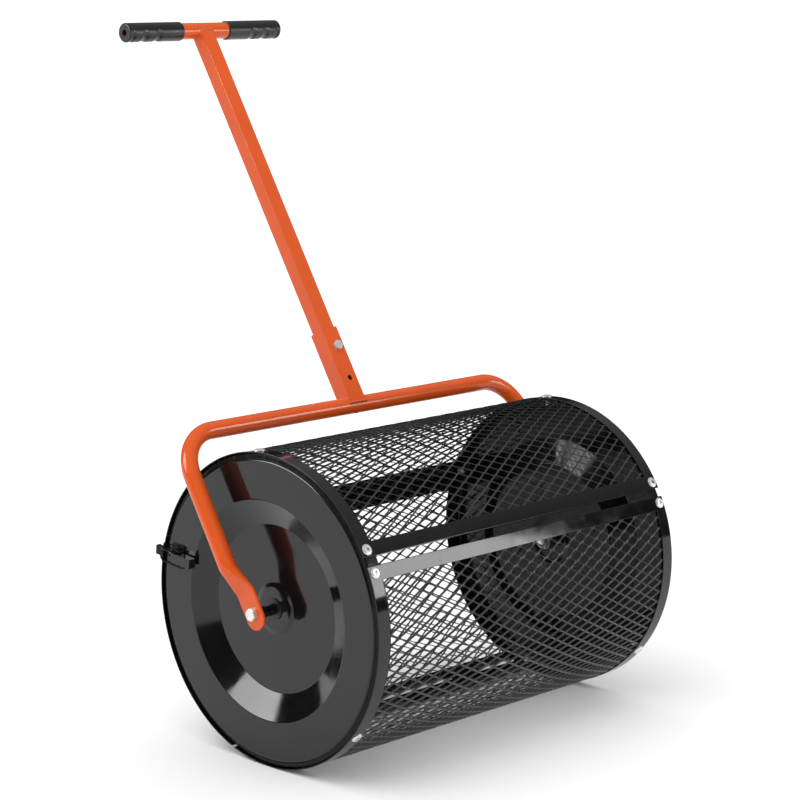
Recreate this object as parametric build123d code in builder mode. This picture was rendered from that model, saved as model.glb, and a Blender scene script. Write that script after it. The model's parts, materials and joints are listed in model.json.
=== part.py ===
from build123d import *
import os
from math import cos, degrees, radians, sin

# Rolling mesh drum spreader for compost and peat, pushed or pulled by a T-handle.
# Millimetres. +Z is up, +X runs along the axle, the handle leans towards +Y.
# The origin is on the ground, straight under the middle of the axle.

# ---------------------------------------------------------------- driving dimensions
drum_radius = 220.0          # outer face of the panel bands, and the height of the axle
half_length = 306.0          # middle of the drum to the outer face of an end cap
sheet = 1.5                  # panel frame steel
mesh_sheet = 0.8             # expanded metal, taken as a closed sheet of about its weight
cap_sheet = 1.2              # end cap steel
running_gap = 0.3            # between the door and the parts it closes on

# panels: angles about the axle, from +Y up towards +Z
front_seam = 152.4
latch_seam = 19.0
hinge_seam = -71.0
seam_gap = 12.8
latch_gap = 2.0              # the seam that the latches pull shut
bar_width = 20.5
latch_bar_width = 25.9       # the two bars that meet at the latch seam
bar_lip = 6.0
band_inset = 0.0             # band edge behind the face of the end cap
band_width = 20.0

# end cap
recess_depth = 20.0
recess_inner_radius = 118.0
recess_outer_radius = 155.0
boss_radius = 31.0
boss_rise = 2.0
rim_fillet = 5.4             # on the middle of the sheet
flange_length = 24.0

# handle
lean = 31.3                  # handle plane, away from vertical
tube_radius = 12.5
tube_wall = 1.8
cope_radius = 12.6           # cut of the socket and the pole where they meet a round tube
arm_x = 340.0                # centre of each side arm
crossbar_up = 268.0          # axle to crossbar, along the lean
bend_radius = 62.0
tab_x = 326.0                # middle of the flattened tab at the hub
tab_thickness = 5.0
tab_width = 36.0
tab_end_down = 5.0           # centre of the tab's rounded end, below the hole
tab_top = 30.0
arm_bottom = 72.0
tbar_up = 901.0              # axle to T-bar, along the lean
tbar_half = 148.0
grip_radius = 14.5
grip_inner = 46.0
grip_end = 152.0
pole_side = 25.0
pole_wall = 1.5
pole_bottom = 322.0
socket_side = 30.0
socket_wall = 2.0
socket_top = 389.0
socket_bolt = 359.0
spare_hole = 306.5

# pole bolt, M8
bolt_radius = 4.0
hex_flats = 13.0
hex_head = 5.3
nut_height = 8.0

# hub, with M10 bolts
hub_bolt_radius = 5.0
hub_flats = 16.0
hub_head = 6.4
hub_nut = 8.4
sleeve_radius = 7.0
sleeve_shoulder = 8.0
fit_gap = 0.05               # running fit of the bush on the sleeve
bush_radius = 11.0
bush_flange_radius = 15.0
bush_flange = 2.0
bush_depth = 30.0            # inner end of the bush behind the cap's face
sleeve_depth = 34.0
washer_radius = 12.0
washer_thickness = 1.6

# panel screws, M6 pan head with a cross recess
screw_x = 296.0
screw_radius = 2.9
screw_head_radius = 7.0
screw_head = 3.0
screw_nut_flats = 10.0
screw_nut = 5.0
screw_inset = 9.7            # from the seam edge of a panel

# door hinges
hinge_x = 170.0
hinge_length = 62.0
leaf = 1.2
leaf_reach = 19.0
knuckle_radius = 4.2
pin_radius = 2.0
knuckle_count = 5
knuckle_gap = 0.4
leaf_cutback = 5.6           # leaf plate from the pin, so that the door can swing past square

# draw latches: distance along the latch, which is 220 at the rim, and height above the cap's face
latch_angle = 13.2           # where the latch crosses the rim
latch_slope = 5.0            # direction of the latch from level
latch_pivot = (190.0, 9.0)
hook_pivot = (177.0, 6.5)
latch_pin_radius = 2.0
hook_pin_radius = 1.5
base_span = (173.0, 199.0)
base_half = 18.0
base_rivet = 14.5
ear_span = (184.0, 197.0)
ear_top = 13.0
ear_inner = 10.0
ear_outer = 11.5
lever_half = 6.8
lever_top = 15.5
lever_tip = 146.0
lever_plate_end = 186.0
lever_heel = 194.5
lever_skirt = 4.0            # lower edge of the lever's side walls at the tip
hook_arm_inner = 7.5
hook_arm_outer = 9.0
hook_arm_width = 4.0
hook_plate = (213.0, 219.0, 228.0)
hook_plate_height = 5.0
hook_tip_half = 6.5
claw_drop = 1.6
keeper_half = 9.0
keeper_span = (3.0, 16.0)    # behind the face of the end cap
keeper_lip = 5.0             # upstand that faces the claw


# ---------------------------------------------------------------- places and helpers
band_edge = half_length - band_inset
mesh_outer = drum_radius - sheet
mesh_inner = mesh_outer - mesh_sheet
flange_radius = mesh_inner - running_gap
axle = Axis((0, 0, drum_radius), (1, 0, 0))


def arc_degrees(width):
    """Angle that a width measured round the drum takes."""
    return degrees(width / drum_radius)


def radial(angle):
    """Unit vector from the axle at an angle about it."""
    return Vector(0, cos(radians(angle)), sin(radians(angle)))


def drum_plane(x):
    """Cross-section of the drum: local x is +Y and local y is +Z, from the axle."""
    return Plane(origin=(x, 0, drum_radius), x_dir=(0, 1, 0), z_dir=(1, 0, 0))


def profile_plane(side):
    """Half-section of an end: local x runs inwards from the cap's face, local y is the radius."""
    return Plane(origin=(side * half_length, 0, drum_radius), x_dir=(-side, 0, 0), z_dir=(0, side, 0))


def radial_plane(x, angle, radius):
    """Plane that touches the drum, facing outwards."""
    out = radial(angle)
    return Plane(origin=Vector(x, 0, drum_radius) + out * radius, x_dir=(1, 0, 0), z_dir=out)


up_the_handle = Vector(0, sin(radians(lean)), cos(radians(lean)))
handle_front = Vector(0, -cos(radians(lean)), sin(radians(lean)))


def handle_point(x, up, front=0.0):
    """Point in the handle's own plane."""
    return Vector(x, 0, drum_radius) + up_the_handle * up + handle_front * front


def across_handle(x, up, front=0.0):
    """Section plane across the handle: local x is +X, facing up the handle."""
    return Plane(origin=handle_point(x, up, front), x_dir=(1, 0, 0), z_dir=up_the_handle)


def facing_front(x, up, front=0.0):
    """Plane parallel to the handle's front face: local x is -X, local y is up the handle."""
    return Plane(origin=handle_point(x, up, front), x_dir=(-1, 0, 0), z_dir=-handle_front)


def save(item, name):
    """Label a finished piece and write it."""
    item.label = name
    export_step(item, f"parts/{name}.step")


def arc_strip(inner, outer, start, end):
    """Sector of a ring, drawn about the axle in the sketch that is open."""
    with BuildLine() as outline:
        outside = CenterArc((0, 0), outer, start, end - start)
        inside = CenterArc((0, 0), inner, start, end - start)
        Line(outside @ 0, inside @ 0)
        Line(outside @ 1, inside @ 1)
    make_face(outline.edges())


os.makedirs("parts", exist_ok=True)
sides = {"left": -1, "right": 1}
seam_half = arc_degrees(seam_gap / 2)
latch_half = arc_degrees(latch_gap / 2)
bar_arc = arc_degrees(bar_width)
latch_bar_arc = arc_degrees(latch_bar_width)
lip_arc = arc_degrees(sheet)
panels = {
    "upper_panel": (latch_seam + latch_half, front_seam - seam_half),
    "lower_panel": (front_seam + seam_half, hinge_seam + 360 - seam_half),
    "door": (hinge_seam + seam_half, latch_seam - latch_half),
}
bars = {
    "upper_panel": (latch_bar_arc, bar_arc),
    "lower_panel": (bar_arc, bar_arc),
    "door": (bar_arc, latch_bar_arc),
}


def screw_angles(panel):
    """Two corner screws and one in the middle of each end band."""
    start, end = panels[panel]
    inset = arc_degrees(screw_inset)
    return [start + inset, (start + end) / 2, end - inset]


screw_planes = {
    name: [
        radial_plane(side * screw_x, angle, drum_radius)
        for side in sides.values()
        for angle in screw_angles(name)
    ]
    for name in ("upper_panel", "lower_panel")
}
all_screws = screw_planes["upper_panel"] + screw_planes["lower_panel"]

# ---------------------------------------------------------------- drum: end caps and hubs
for word, side in sides.items():
    # pressed steel dish: hub boss, recessed disc, cone, flat ring and rolled rim
    with BuildPart() as end_cap:
        with BuildSketch(profile_plane(side)):
            middle = cap_sheet / 2
            floor = recess_depth - middle
            with BuildLine():
                FilletPolyline(
                    (floor - boss_rise, bush_radius),
                    (floor - boss_rise, boss_radius),
                    (floor, boss_radius + 2.5 * boss_rise),
                    (floor, recess_inner_radius),
                    (middle, recess_outer_radius),
                    (middle, flange_radius - middle),
                    (flange_length, flange_radius - middle),
                    radius=[2.0, 2.0, rim_fillet, rim_fillet, rim_fillet],
                )
            trace(line_width=cap_sheet)
        revolve(axis=axle)
        with Locations(*[plane.location for plane in all_screws]):
            Hole(radius=screw_radius + 0.3, depth=3 * rim_fillet)
    save(end_cap.part, f"end_cap_{word}")

    # nylon bush pressed into the boss, its flange outside
    boss_face = recess_depth - boss_rise - cap_sheet
    with BuildPart() as hub_bush:
        with BuildSketch(profile_plane(side)):
            with BuildLine():
                Polyline(
                    (boss_face - bush_flange, sleeve_radius + fit_gap),
                    (boss_face - bush_flange, bush_flange_radius),
                    (boss_face, bush_flange_radius),
                    (boss_face, bush_radius),
                    (bush_depth, bush_radius),
                    (bush_depth, sleeve_radius + fit_gap),
                    close=True,
                )
            make_face()
        revolve(axis=axle)
    save(hub_bush.part, f"hub_bush_{word}")

    # stub axle sleeve: the shoulder stands between the tab and the bush
    tab_inner = tab_x - tab_thickness / 2
    tab_outer = tab_x + tab_thickness / 2
    shoulder_end = boss_face - bush_flange - running_gap
    with BuildPart() as axle_sleeve:
        with BuildSketch(profile_plane(side)):
            with BuildLine():
                Polyline(
                    (half_length - tab_inner, hub_bolt_radius + 0.2),
                    (half_length - tab_inner, sleeve_shoulder),
                    (shoulder_end, sleeve_shoulder),
                    (shoulder_end, sleeve_radius),
                    (sleeve_depth, sleeve_radius),
                    (sleeve_depth, hub_bolt_radius + 0.2),
                    close=True,
                )
            make_face()
        revolve(axis=axle)
    save(axle_sleeve.part, f"axle_sleeve_{word}")

    # hex bolt through the tab and the sleeve, its head outside
    sleeve_end = half_length - sleeve_depth
    nut_face = sleeve_end - washer_thickness
    with BuildPart() as axle_bolt:
        with BuildSketch(drum_plane(side * tab_outer)):
            RegularPolygon(hub_flats / 2, 6, major_radius=False)
        extrude(amount=side * hub_head)
        with BuildSketch(drum_plane(side * tab_outer)):
            Circle(hub_bolt_radius)
        extrude(amount=-side * (tab_outer - nut_face + hub_nut + 2.0))
    save(axle_bolt.part, f"axle_bolt_{word}")

    with BuildPart() as axle_washer:
        with BuildSketch(drum_plane(side * nut_face)):
            Circle(washer_radius)
            Circle(hub_bolt_radius + 0.3, mode=Mode.SUBTRACT)
        extrude(amount=side * washer_thickness)
    save(axle_washer.part, f"axle_washer_{word}")

    with BuildPart() as axle_nut:
        with BuildSketch(drum_plane(side * nut_face)):
            RegularPolygon(hub_flats / 2, 6, major_radius=False)
            Circle(hub_bolt_radius, mode=Mode.SUBTRACT)
        extrude(amount=-side * hub_nut)
    save(axle_nut.part, f"axle_nut_{word}")

# ---------------------------------------------------------------- drum: panels and door
for panel, (start, end) in panels.items():
    # strip frame: a band round each end and a lipped bar along each seam
    with BuildPart() as panel_frame:
        for x in (-band_edge, band_edge - band_width):
            with BuildSketch(drum_plane(x)):
                arc_strip(mesh_outer, drum_radius, start, end)
            extrude(amount=band_width)
        for low, high in ((start, start + bars[panel][0]), (end - bars[panel][1], end)):
            with BuildSketch(drum_plane(-band_edge)):
                arc_strip(mesh_outer, drum_radius, low, high)
            extrude(amount=2 * band_edge)
        lip_half = half_length - flange_length - 2.0
        for low in (start, end - lip_arc):
            with BuildSketch(drum_plane(-lip_half)):
                arc_strip(drum_radius - sheet - bar_lip, drum_radius, low, low + lip_arc)
            extrude(amount=2 * lip_half)
        if panel in screw_planes:
            with Locations(*[plane.location for plane in screw_planes[panel]]):
                Hole(radius=screw_radius + 0.3, depth=2 * sheet)
    save(panel_frame.part, f"{panel}_frame")

    # expanded metal, welded inside the frame between its two lips
    with BuildPart() as panel_mesh:
        with BuildSketch(drum_plane(-band_edge + sheet)):
            arc_strip(mesh_inner, mesh_outer, start + lip_arc, end - lip_arc)
        extrude(amount=2 * (band_edge - sheet))
        if panel in screw_planes:
            with Locations(*[plane.location for plane in screw_planes[panel]]):
                Hole(radius=screw_radius + 0.3, depth=3 * sheet)
    save(panel_mesh.part, f"{panel}_mesh")

# pan head screws that hold the two fixed panels to the end cap flanges
with BuildPart() as panel_screws:
    for plane in all_screws:
        with BuildSketch(plane):
            Circle(screw_head_radius)
        extrude(amount=screw_head, taper=12)
        with BuildSketch(plane):
            Circle(screw_radius)
        extrude(amount=-(screw_nut + 8.0))
        with BuildSketch(plane.offset(screw_head)):
            Rectangle(6.0, 1.2)
            Rectangle(1.2, 6.0)
        extrude(amount=-1.8, mode=Mode.SUBTRACT)
save(panel_screws.part, "panel_screws")

with BuildPart() as panel_nuts:
    for plane in all_screws:
        with BuildSketch(plane.offset(flange_radius - cap_sheet - drum_radius - 0.15)):
            RegularPolygon(screw_nut_flats / 2, 6, major_radius=False, rotation=30)
            Circle(screw_radius, mode=Mode.SUBTRACT)
        extrude(amount=-screw_nut)
save(panel_nuts.part, "panel_nuts")

# ---------------------------------------------------------------- door hinges
hinge_radius = drum_radius + leaf - knuckle_radius
knuckle_pitch = hinge_length / knuckle_count
leaf_start = arc_degrees(leaf_cutback)


def hinge_leaf(centre_x, turn, owned, bore):
    """One leaf: a plate on the seam bar and every other knuckle round the pin."""
    reach = hinge_seam + turn * arc_degrees(leaf_reach)
    near = hinge_seam + turn * leaf_start
    centre = radial(hinge_seam) * hinge_radius
    with BuildPart() as leaf_part:
        with BuildSketch(drum_plane(centre_x - hinge_length / 2)):
            arc_strip(drum_radius, drum_radius + leaf, min(reach, near), max(reach, near))
        extrude(amount=hinge_length)
        for index in owned:
            x = centre_x - hinge_length / 2 + index * knuckle_pitch + knuckle_gap / 2
            with BuildSketch(drum_plane(x)):
                arc_strip(drum_radius, drum_radius + leaf, min(hinge_seam, near), max(hinge_seam, near))
                with Locations((centre.Y, centre.Z)):
                    Circle(knuckle_radius)
                    Circle(bore, mode=Mode.SUBTRACT)
            extrude(amount=knuckle_pitch - knuckle_gap)
        with Locations(*[plane.location for plane in rivet_planes(centre_x, turn)]):
            Hole(radius=1.6, depth=2 * leaf)
    return leaf_part.part


def rivet_planes(centre_x, turn):
    """Two rivets in each leaf."""
    angle = hinge_seam + turn * arc_degrees(13.5)
    return [radial_plane(centre_x + step, angle, drum_radius + leaf) for step in (-20.0, 20.0)]


def rivet_group(planes, shank, head_radius=3.0, head=1.2, radius=1.55):
    """Domed rivets, one separate solid at each plane."""
    with BuildPart() as rivets:
        for plane in planes:
            with BuildSketch(plane):
                Circle(head_radius)
            extrude(amount=head, taper=30)
            with BuildSketch(plane):
                Circle(radius)
            extrude(amount=-shank)
    return rivets.part


for word, side in sides.items():
    x = side * hinge_x
    save(hinge_leaf(x, -1, (0, 2, 4), pin_radius + 0.02), f"hinge_leaf_drum_{word}")
    save(hinge_leaf(x, 1, (1, 3), pin_radius + fit_gap), f"hinge_leaf_door_{word}")

with BuildPart() as hinge_pins:
    pin_centre = radial(hinge_seam) * hinge_radius
    for side in sides.values():
        with BuildSketch(drum_plane(side * hinge_x - hinge_length / 2 - 0.8)):
            with Locations((pin_centre.Y, pin_centre.Z)):
                Circle(pin_radius)
        extrude(amount=hinge_length + 1.6)
save(hinge_pins.part, "hinge_pins")

for owner, turn in (("drum", -1), ("door", 1)):
    planes = [plane for side in sides.values() for plane in rivet_planes(side * hinge_x, turn)]
    save(rivet_group(planes, leaf), f"hinge_rivets_{owner}")


# ---------------------------------------------------------------- draw latches
def latch_origin(side):
    """Start of the latch's own scale, level with the cap's face."""
    rim = Vector(side * half_length, 0, drum_radius) + radial(latch_angle) * drum_radius
    return rim - radial(latch_slope) * drum_radius


def latch_plane(side):
    """Side view of a latch: local x runs along the latch, local y is out from the cap."""
    along = radial(latch_slope)
    return Plane(origin=latch_origin(side), x_dir=along, z_dir=along.cross(Vector(side, 0, 0)))


def latch_plan(side, height):
    """Latch seen from outside the cap: local x runs along the latch."""
    return Plane(
        origin=latch_origin(side) + Vector(side * height, 0, 0),
        x_dir=radial(latch_slope),
        z_dir=(side, 0, 0),
    )


latch_rivet_spots = [(186.0, -base_rivet), (186.0, base_rivet)]

for word, side in sides.items():
    view = latch_plane(side)

    # base plate across the latch, with two ears for the lever's pivot
    with BuildPart() as latch_base:
        with BuildSketch(latch_plan(side, 0)):
            with Locations(((base_span[0] + base_span[1]) / 2, 0)):
                RectangleRounded(base_span[1] - base_span[0], 2 * base_half, 5.0)
            with Locations(*latch_rivet_spots):
                Circle(1.6, mode=Mode.SUBTRACT)
        extrude(amount=sheet)
        for low in (-ear_outer, ear_inner):
            with BuildSketch(view.offset(low)):
                with Locations(((ear_span[0] + ear_span[1]) / 2, ear_top / 2)):
                    Rectangle(ear_span[1] - ear_span[0], ear_top)
                with Locations(latch_pivot):
                    Circle(latch_pin_radius + 0.02, mode=Mode.SUBTRACT)
            extrude(amount=ear_outer - ear_inner)
    save(latch_base.part, f"latch_base_{word}")

    # lever: a pressed channel, closed at its thumb end, its walls carry both pivots
    with BuildPart() as latch_lever:
        for low in (-lever_half, lever_half - sheet):
            with BuildSketch(view.offset(low)):
                with BuildLine():
                    Polyline(
                        (lever_tip, lever_top),
                        (lever_plate_end, lever_top),
                        (lever_heel, latch_pivot[1] + 3.0),
                        (lever_heel, latch_pivot[1] - 2.0),
                        (latch_pivot[0], latch_pivot[1] - 4.0),
                        (hook_pivot[0], hook_pivot[1] - 3.7),
                        (lever_tip, lever_skirt),
                        close=True,
                    )
                make_face()
                with Locations(latch_pivot):
                    Circle(latch_pin_radius + fit_gap, mode=Mode.SUBTRACT)
                with Locations(hook_pivot):
                    Circle(hook_pin_radius + 0.02, mode=Mode.SUBTRACT)
            extrude(amount=sheet)
        with BuildSketch(view.offset(-lever_half)):
            with Locations(((lever_tip + lever_plate_end) / 2, lever_top - sheet / 2)):
                Rectangle(lever_plate_end - lever_tip, sheet)
            with Locations((lever_tip + sheet / 2, (lever_top + lever_skirt) / 2)):
                Rectangle(sheet, lever_top - lever_skirt)
        extrude(amount=2 * lever_half)
    save(latch_lever.part, f"latch_lever_{word}")

    with BuildPart() as hook_pin:
        with BuildSketch(view.offset(-hook_arm_outer - 0.4)):
            with Locations(hook_pivot):
                Circle(hook_pin_radius)
        extrude(amount=2 * (hook_arm_outer + 0.4))
    save(hook_pin.part, f"hook_pin_{word}")

    # draw hook: two arms arch over the lever's pivot and meet in a plate turned down at the rim
    plate_start, plate_neck, plate_tip = hook_plate
    with BuildPart() as latch_hook:
        for low in (-hook_arm_outer, hook_arm_inner):
            with BuildSketch(view.offset(low)):
                with BuildLine():
                    FilletPolyline(
                        hook_pivot,
                        (hook_pivot[0] + 6.0, hook_pivot[1] + 8.3),
                        (latch_pivot[0] + 12.0, hook_pivot[1] + 8.3),
                        (plate_start + 2.0, hook_plate_height + hook_arm_width / 2),
                        radius=2.5,
                    )
                trace(line_width=hook_arm_width)
                with Locations(hook_pivot):
                    Circle(hook_pin_radius + 1.7)
                    Circle(hook_pin_radius + fit_gap, mode=Mode.SUBTRACT)
            extrude(amount=hook_arm_outer - hook_arm_inner)
        with BuildSketch(latch_plan(side, hook_plate_height)):
            with BuildLine():
                Polyline(
                    (plate_start, -hook_arm_outer),
                    (plate_neck - 1.0, -hook_arm_outer),
                    (plate_neck + 1.0, -hook_tip_half),
                    (plate_tip, -hook_tip_half),
                    (plate_tip, hook_tip_half),
                    (plate_neck + 1.0, hook_tip_half),
                    (plate_neck - 1.0, hook_arm_outer),
                    (plate_start, hook_arm_outer),
                    close=True,
                )
            make_face()
        extrude(amount=sheet)
        with BuildSketch(view.offset(-hook_tip_half)):
            with Locations((plate_tip - sheet / 2, (hook_plate_height + sheet - claw_drop) / 2)):
                Rectangle(sheet, hook_plate_height + sheet + claw_drop)
        extrude(amount=2 * hook_tip_half)
    save(latch_hook.part, f"latch_hook_{word}")

    # keeper on the door band: a plate with an upstand that faces the claw
    with BuildPart() as latch_keeper:
        keeper_arc = arc_degrees(keeper_half)
        ends = (latch_angle - keeper_arc, latch_angle + keeper_arc)
        with BuildSketch(drum_plane(side * (half_length - keeper_span[0]))):
            arc_strip(drum_radius, drum_radius + sheet, *ends)
        extrude(amount=-side * (keeper_span[1] - keeper_span[0]))
        with BuildSketch(drum_plane(side * (half_length - keeper_span[0]))):
            arc_strip(drum_radius, drum_radius + keeper_lip, *ends)
        extrude(amount=-side * sheet)
    save(latch_keeper.part, f"latch_keeper_{word}")

with BuildPart() as latch_pins:
    for side in sides.values():
        with BuildSketch(latch_plane(side).offset(-ear_outer - 0.6)):
            with Locations(latch_pivot):
                Circle(latch_pin_radius)
        extrude(amount=2 * (ear_outer + 0.6))
save(latch_pins.part, "latch_pins")

latch_rivets = [
    Plane(
        origin=latch_plan(side, sheet).from_local_coords(Vector(*spot, 0)),
        x_dir=radial(latch_slope),
        z_dir=(side, 0, 0),
    )
    for side in sides.values()
    for spot in latch_rivet_spots
]
save(rivet_group(latch_rivets, sheet), "latch_rivets")

# ---------------------------------------------------------------- handle frame
# bent tube: two arms and a crossbar, each arm pressed flat and joggled in to the hub
with BuildPart() as u_frame:
    with BuildLine() as frame_line:
        FilletPolyline(
            handle_point(-arm_x, arm_bottom),
            handle_point(-arm_x, crossbar_up),
            handle_point(arm_x, crossbar_up),
            handle_point(arm_x, arm_bottom),
            radius=bend_radius,
        )
    with BuildSketch(across_handle(-arm_x, arm_bottom)):
        Circle(tube_radius)
        Circle(tube_radius - tube_wall, mode=Mode.SUBTRACT)
    sweep(path=frame_line.line)
    for side in sides.values():
        with BuildSketch(across_handle(side * arm_x, arm_bottom)):
            RectangleRounded(2 * tube_radius, 2 * tube_radius, tube_radius - 0.02)
        with BuildSketch(across_handle(side * tab_x, tab_top)):
            RectangleRounded(tab_thickness, tab_width, tab_thickness / 2 - 0.02)
        loft()
        with BuildSketch(drum_plane(side * tab_x)) as tab_outline:
            end_centre = up_the_handle * -tab_end_down
            with Locations((end_centre.Y, end_centre.Z)):
                Circle(tab_width / 2)
            middle_up = (tab_top - tab_end_down) / 2
            centre = up_the_handle * middle_up
            with Locations(Location((centre.Y, centre.Z), 90 - lean)):
                Rectangle(tab_top + tab_end_down, tab_width)
            Circle(hub_bolt_radius + 0.3, mode=Mode.SUBTRACT)
        extrude(amount=tab_thickness / 2, both=True)
    # drain hole under the middle of the crossbar
    with BuildSketch(across_handle(0, crossbar_up - tube_radius - 1.0)):
        Circle(3.0)
    extrude(amount=tube_radius, mode=Mode.SUBTRACT)
save(u_frame.part, "u_frame")

# square socket, coped over the crossbar, with a bolt hole and a spare hole
with BuildPart() as pole_socket:
    with BuildSketch(across_handle(0, crossbar_up)):
        RectangleRounded(socket_side, socket_side, 2.5)
        RectangleRounded(socket_side - 2 * socket_wall, socket_side - 2 * socket_wall, 0.8, mode=Mode.SUBTRACT)
    extrude(amount=socket_top - crossbar_up)
    crossbar_centre = handle_point(0, crossbar_up)
    with BuildSketch(Plane(origin=crossbar_centre, x_dir=(0, 1, 0), z_dir=(1, 0, 0))):
        Circle(cope_radius)
    extrude(amount=socket_side, both=True, mode=Mode.SUBTRACT)
    for up in (socket_bolt, spare_hole):
        with BuildSketch(facing_front(0, up)):
            Circle(bolt_radius + 0.25)
        extrude(amount=socket_side, both=True, mode=Mode.SUBTRACT)
save(pole_socket.part, "pole_socket")

# square pole, coped over the T-bar
with BuildPart() as pole:
    with BuildSketch(across_handle(0, pole_bottom)):
        RectangleRounded(pole_side, pole_side, 2.5)
        RectangleRounded(pole_side - 2 * pole_wall, pole_side - 2 * pole_wall, 1.0, mode=Mode.SUBTRACT)
    extrude(amount=tbar_up - pole_bottom)
    with BuildSketch(Plane(origin=handle_point(0, tbar_up), x_dir=(0, 1, 0), z_dir=(1, 0, 0))):
        Circle(cope_radius)
    extrude(amount=pole_side, both=True, mode=Mode.SUBTRACT)
    with BuildSketch(facing_front(0, socket_bolt)):
        Circle(bolt_radius + 0.25)
    extrude(amount=pole_side, both=True, mode=Mode.SUBTRACT)
save(pole.part, "pole")

tbar_plane = Plane(origin=handle_point(0, tbar_up), x_dir=(0, 1, 0), z_dir=(1, 0, 0))
with BuildPart() as t_bar:
    with BuildSketch(tbar_plane):
        Circle(tube_radius)
        Circle(tube_radius - tube_wall, mode=Mode.SUBTRACT)
    extrude(amount=tbar_half, both=True)
save(t_bar.part, "t_bar")

for word, side in sides.items():
    # rubber grip: a sleeve closed at its outer end, with a vent hole
    with BuildPart() as grip:
        with BuildSketch(tbar_plane.offset(side * grip_inner)):
            Circle(grip_radius)
        extrude(amount=side * (grip_end - grip_inner))
        fillet(grip.edges().filter_by(GeomType.CIRCLE), radius=2.2)
        with BuildSketch(tbar_plane.offset(side * grip_inner)):
            Circle(tube_radius)
        extrude(amount=side * (tbar_half - grip_inner), mode=Mode.SUBTRACT)
        with BuildSketch(tbar_plane.offset(side * grip_end)):
            Circle(4.0)
        extrude(amount=-side * (grip_end - tbar_half), mode=Mode.SUBTRACT)
    save(grip.part, f"grip_{word}")

# bolt and nut that fix the pole in its socket
with BuildPart() as pole_bolt:
    with BuildSketch(facing_front(0, socket_bolt, socket_side / 2)):
        RegularPolygon(hex_flats / 2, 6, major_radius=False)
    extrude(amount=-hex_head)
    with BuildSketch(facing_front(0, socket_bolt, socket_side / 2)):
        Circle(bolt_radius)
    extrude(amount=socket_side + nut_height + 3.0)
save(pole_bolt.part, "pole_bolt")

with BuildPart() as pole_nut:
    with BuildSketch(facing_front(0, socket_bolt, -socket_side / 2)):
        RegularPolygon(hex_flats / 2, 6, major_radius=False)
        Circle(bolt_radius, mode=Mode.SUBTRACT)
    extrude(amount=nut_height)
save(pole_nut.part, "pole_nut")

# joint centres for the record
hinge_centre = radial(hinge_seam) * hinge_radius
print("door hinge axis y, z:", round(hinge_centre.Y, 4), round(hinge_centre.Z + drum_radius, 4))
for name, spot in (("lever", latch_pivot), ("hook", hook_pivot)):
    centre = latch_plane(1).from_local_coords(Vector(*spot, 0))
    print(name, "pivot |x|, y, z:", round(centre.X, 4), round(centre.Y, 4), round(centre.Z, 4))
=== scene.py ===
import json
from math import atan2, cos, degrees, hypot, pi, radians, sin, sqrt, tan

import bmesh
import bpy
import numpy as np
from mathutils import Matrix, Vector

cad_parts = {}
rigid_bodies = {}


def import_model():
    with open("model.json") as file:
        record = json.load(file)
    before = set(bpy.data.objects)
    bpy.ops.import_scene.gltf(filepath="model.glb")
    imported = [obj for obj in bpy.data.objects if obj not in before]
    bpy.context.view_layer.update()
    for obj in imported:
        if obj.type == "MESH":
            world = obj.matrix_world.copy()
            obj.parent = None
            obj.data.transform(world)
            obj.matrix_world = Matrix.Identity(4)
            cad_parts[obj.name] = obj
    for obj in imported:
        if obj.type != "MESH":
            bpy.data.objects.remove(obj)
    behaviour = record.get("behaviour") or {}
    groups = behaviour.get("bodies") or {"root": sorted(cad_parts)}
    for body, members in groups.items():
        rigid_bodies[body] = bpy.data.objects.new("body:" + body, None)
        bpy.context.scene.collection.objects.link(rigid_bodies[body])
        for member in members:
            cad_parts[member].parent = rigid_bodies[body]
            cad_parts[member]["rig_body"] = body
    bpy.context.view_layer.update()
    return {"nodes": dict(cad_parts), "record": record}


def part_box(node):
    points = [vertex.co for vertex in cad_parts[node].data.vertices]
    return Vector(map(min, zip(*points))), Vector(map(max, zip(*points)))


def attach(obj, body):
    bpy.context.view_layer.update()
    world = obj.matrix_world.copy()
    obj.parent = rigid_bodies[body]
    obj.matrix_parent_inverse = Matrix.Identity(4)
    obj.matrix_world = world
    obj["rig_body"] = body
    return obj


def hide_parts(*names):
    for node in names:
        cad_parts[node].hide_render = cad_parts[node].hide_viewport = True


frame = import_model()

# Mesh drum spreader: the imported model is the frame, in metres. Sizes below are in millimetres.
MM = 0.001
nodes = frame["nodes"]
node_slot = {part["node"]: part["material_slot"] for part in frame["record"]["subparts"]}


def span(node, axis):
    """Lowest and highest place of a CAD node along one axis, in millimetres."""
    low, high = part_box(node)
    return low[axis] / MM, high[axis] / MM


# ---------------------------------------------------------------- driving dimensions
half_length = -span("end_cap_left", 0)[0]
axle_height = sum(span("end_cap_left", 2)) / 2
flange_radius = axle_height - span("end_cap_left", 2)[0]
drum_radius = axle_height - span("lower_panel_frame", 2)[0]
band_edge = -span("upper_panel_frame", 0)[0]
grip_end = -span("grip_left", 0)[0]
sheet = 1.5
cap_sheet = 1.2
front_seam = 152.4
latch_seam = 19.0
hinge_seam = -71.0
seam_gap = 12.8
latch_gap = 0.6
bar_width = 20.5
latch_bar_width = 25.9
bar_lip = 6.0
band_width = 20.0
lower_tongue = 2.8
door_tongue = 4.7

recess_depth = 20.0
recess_inner_radius = 118.0
recess_outer_radius = 155.0
boss_radius = 31.0
boss_rise = 2.0
boss_spread = 3.2
rim_radius = 208.0
rim_step = 3.6
rim_groove = 2.4
flange_length = 24.0

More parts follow.
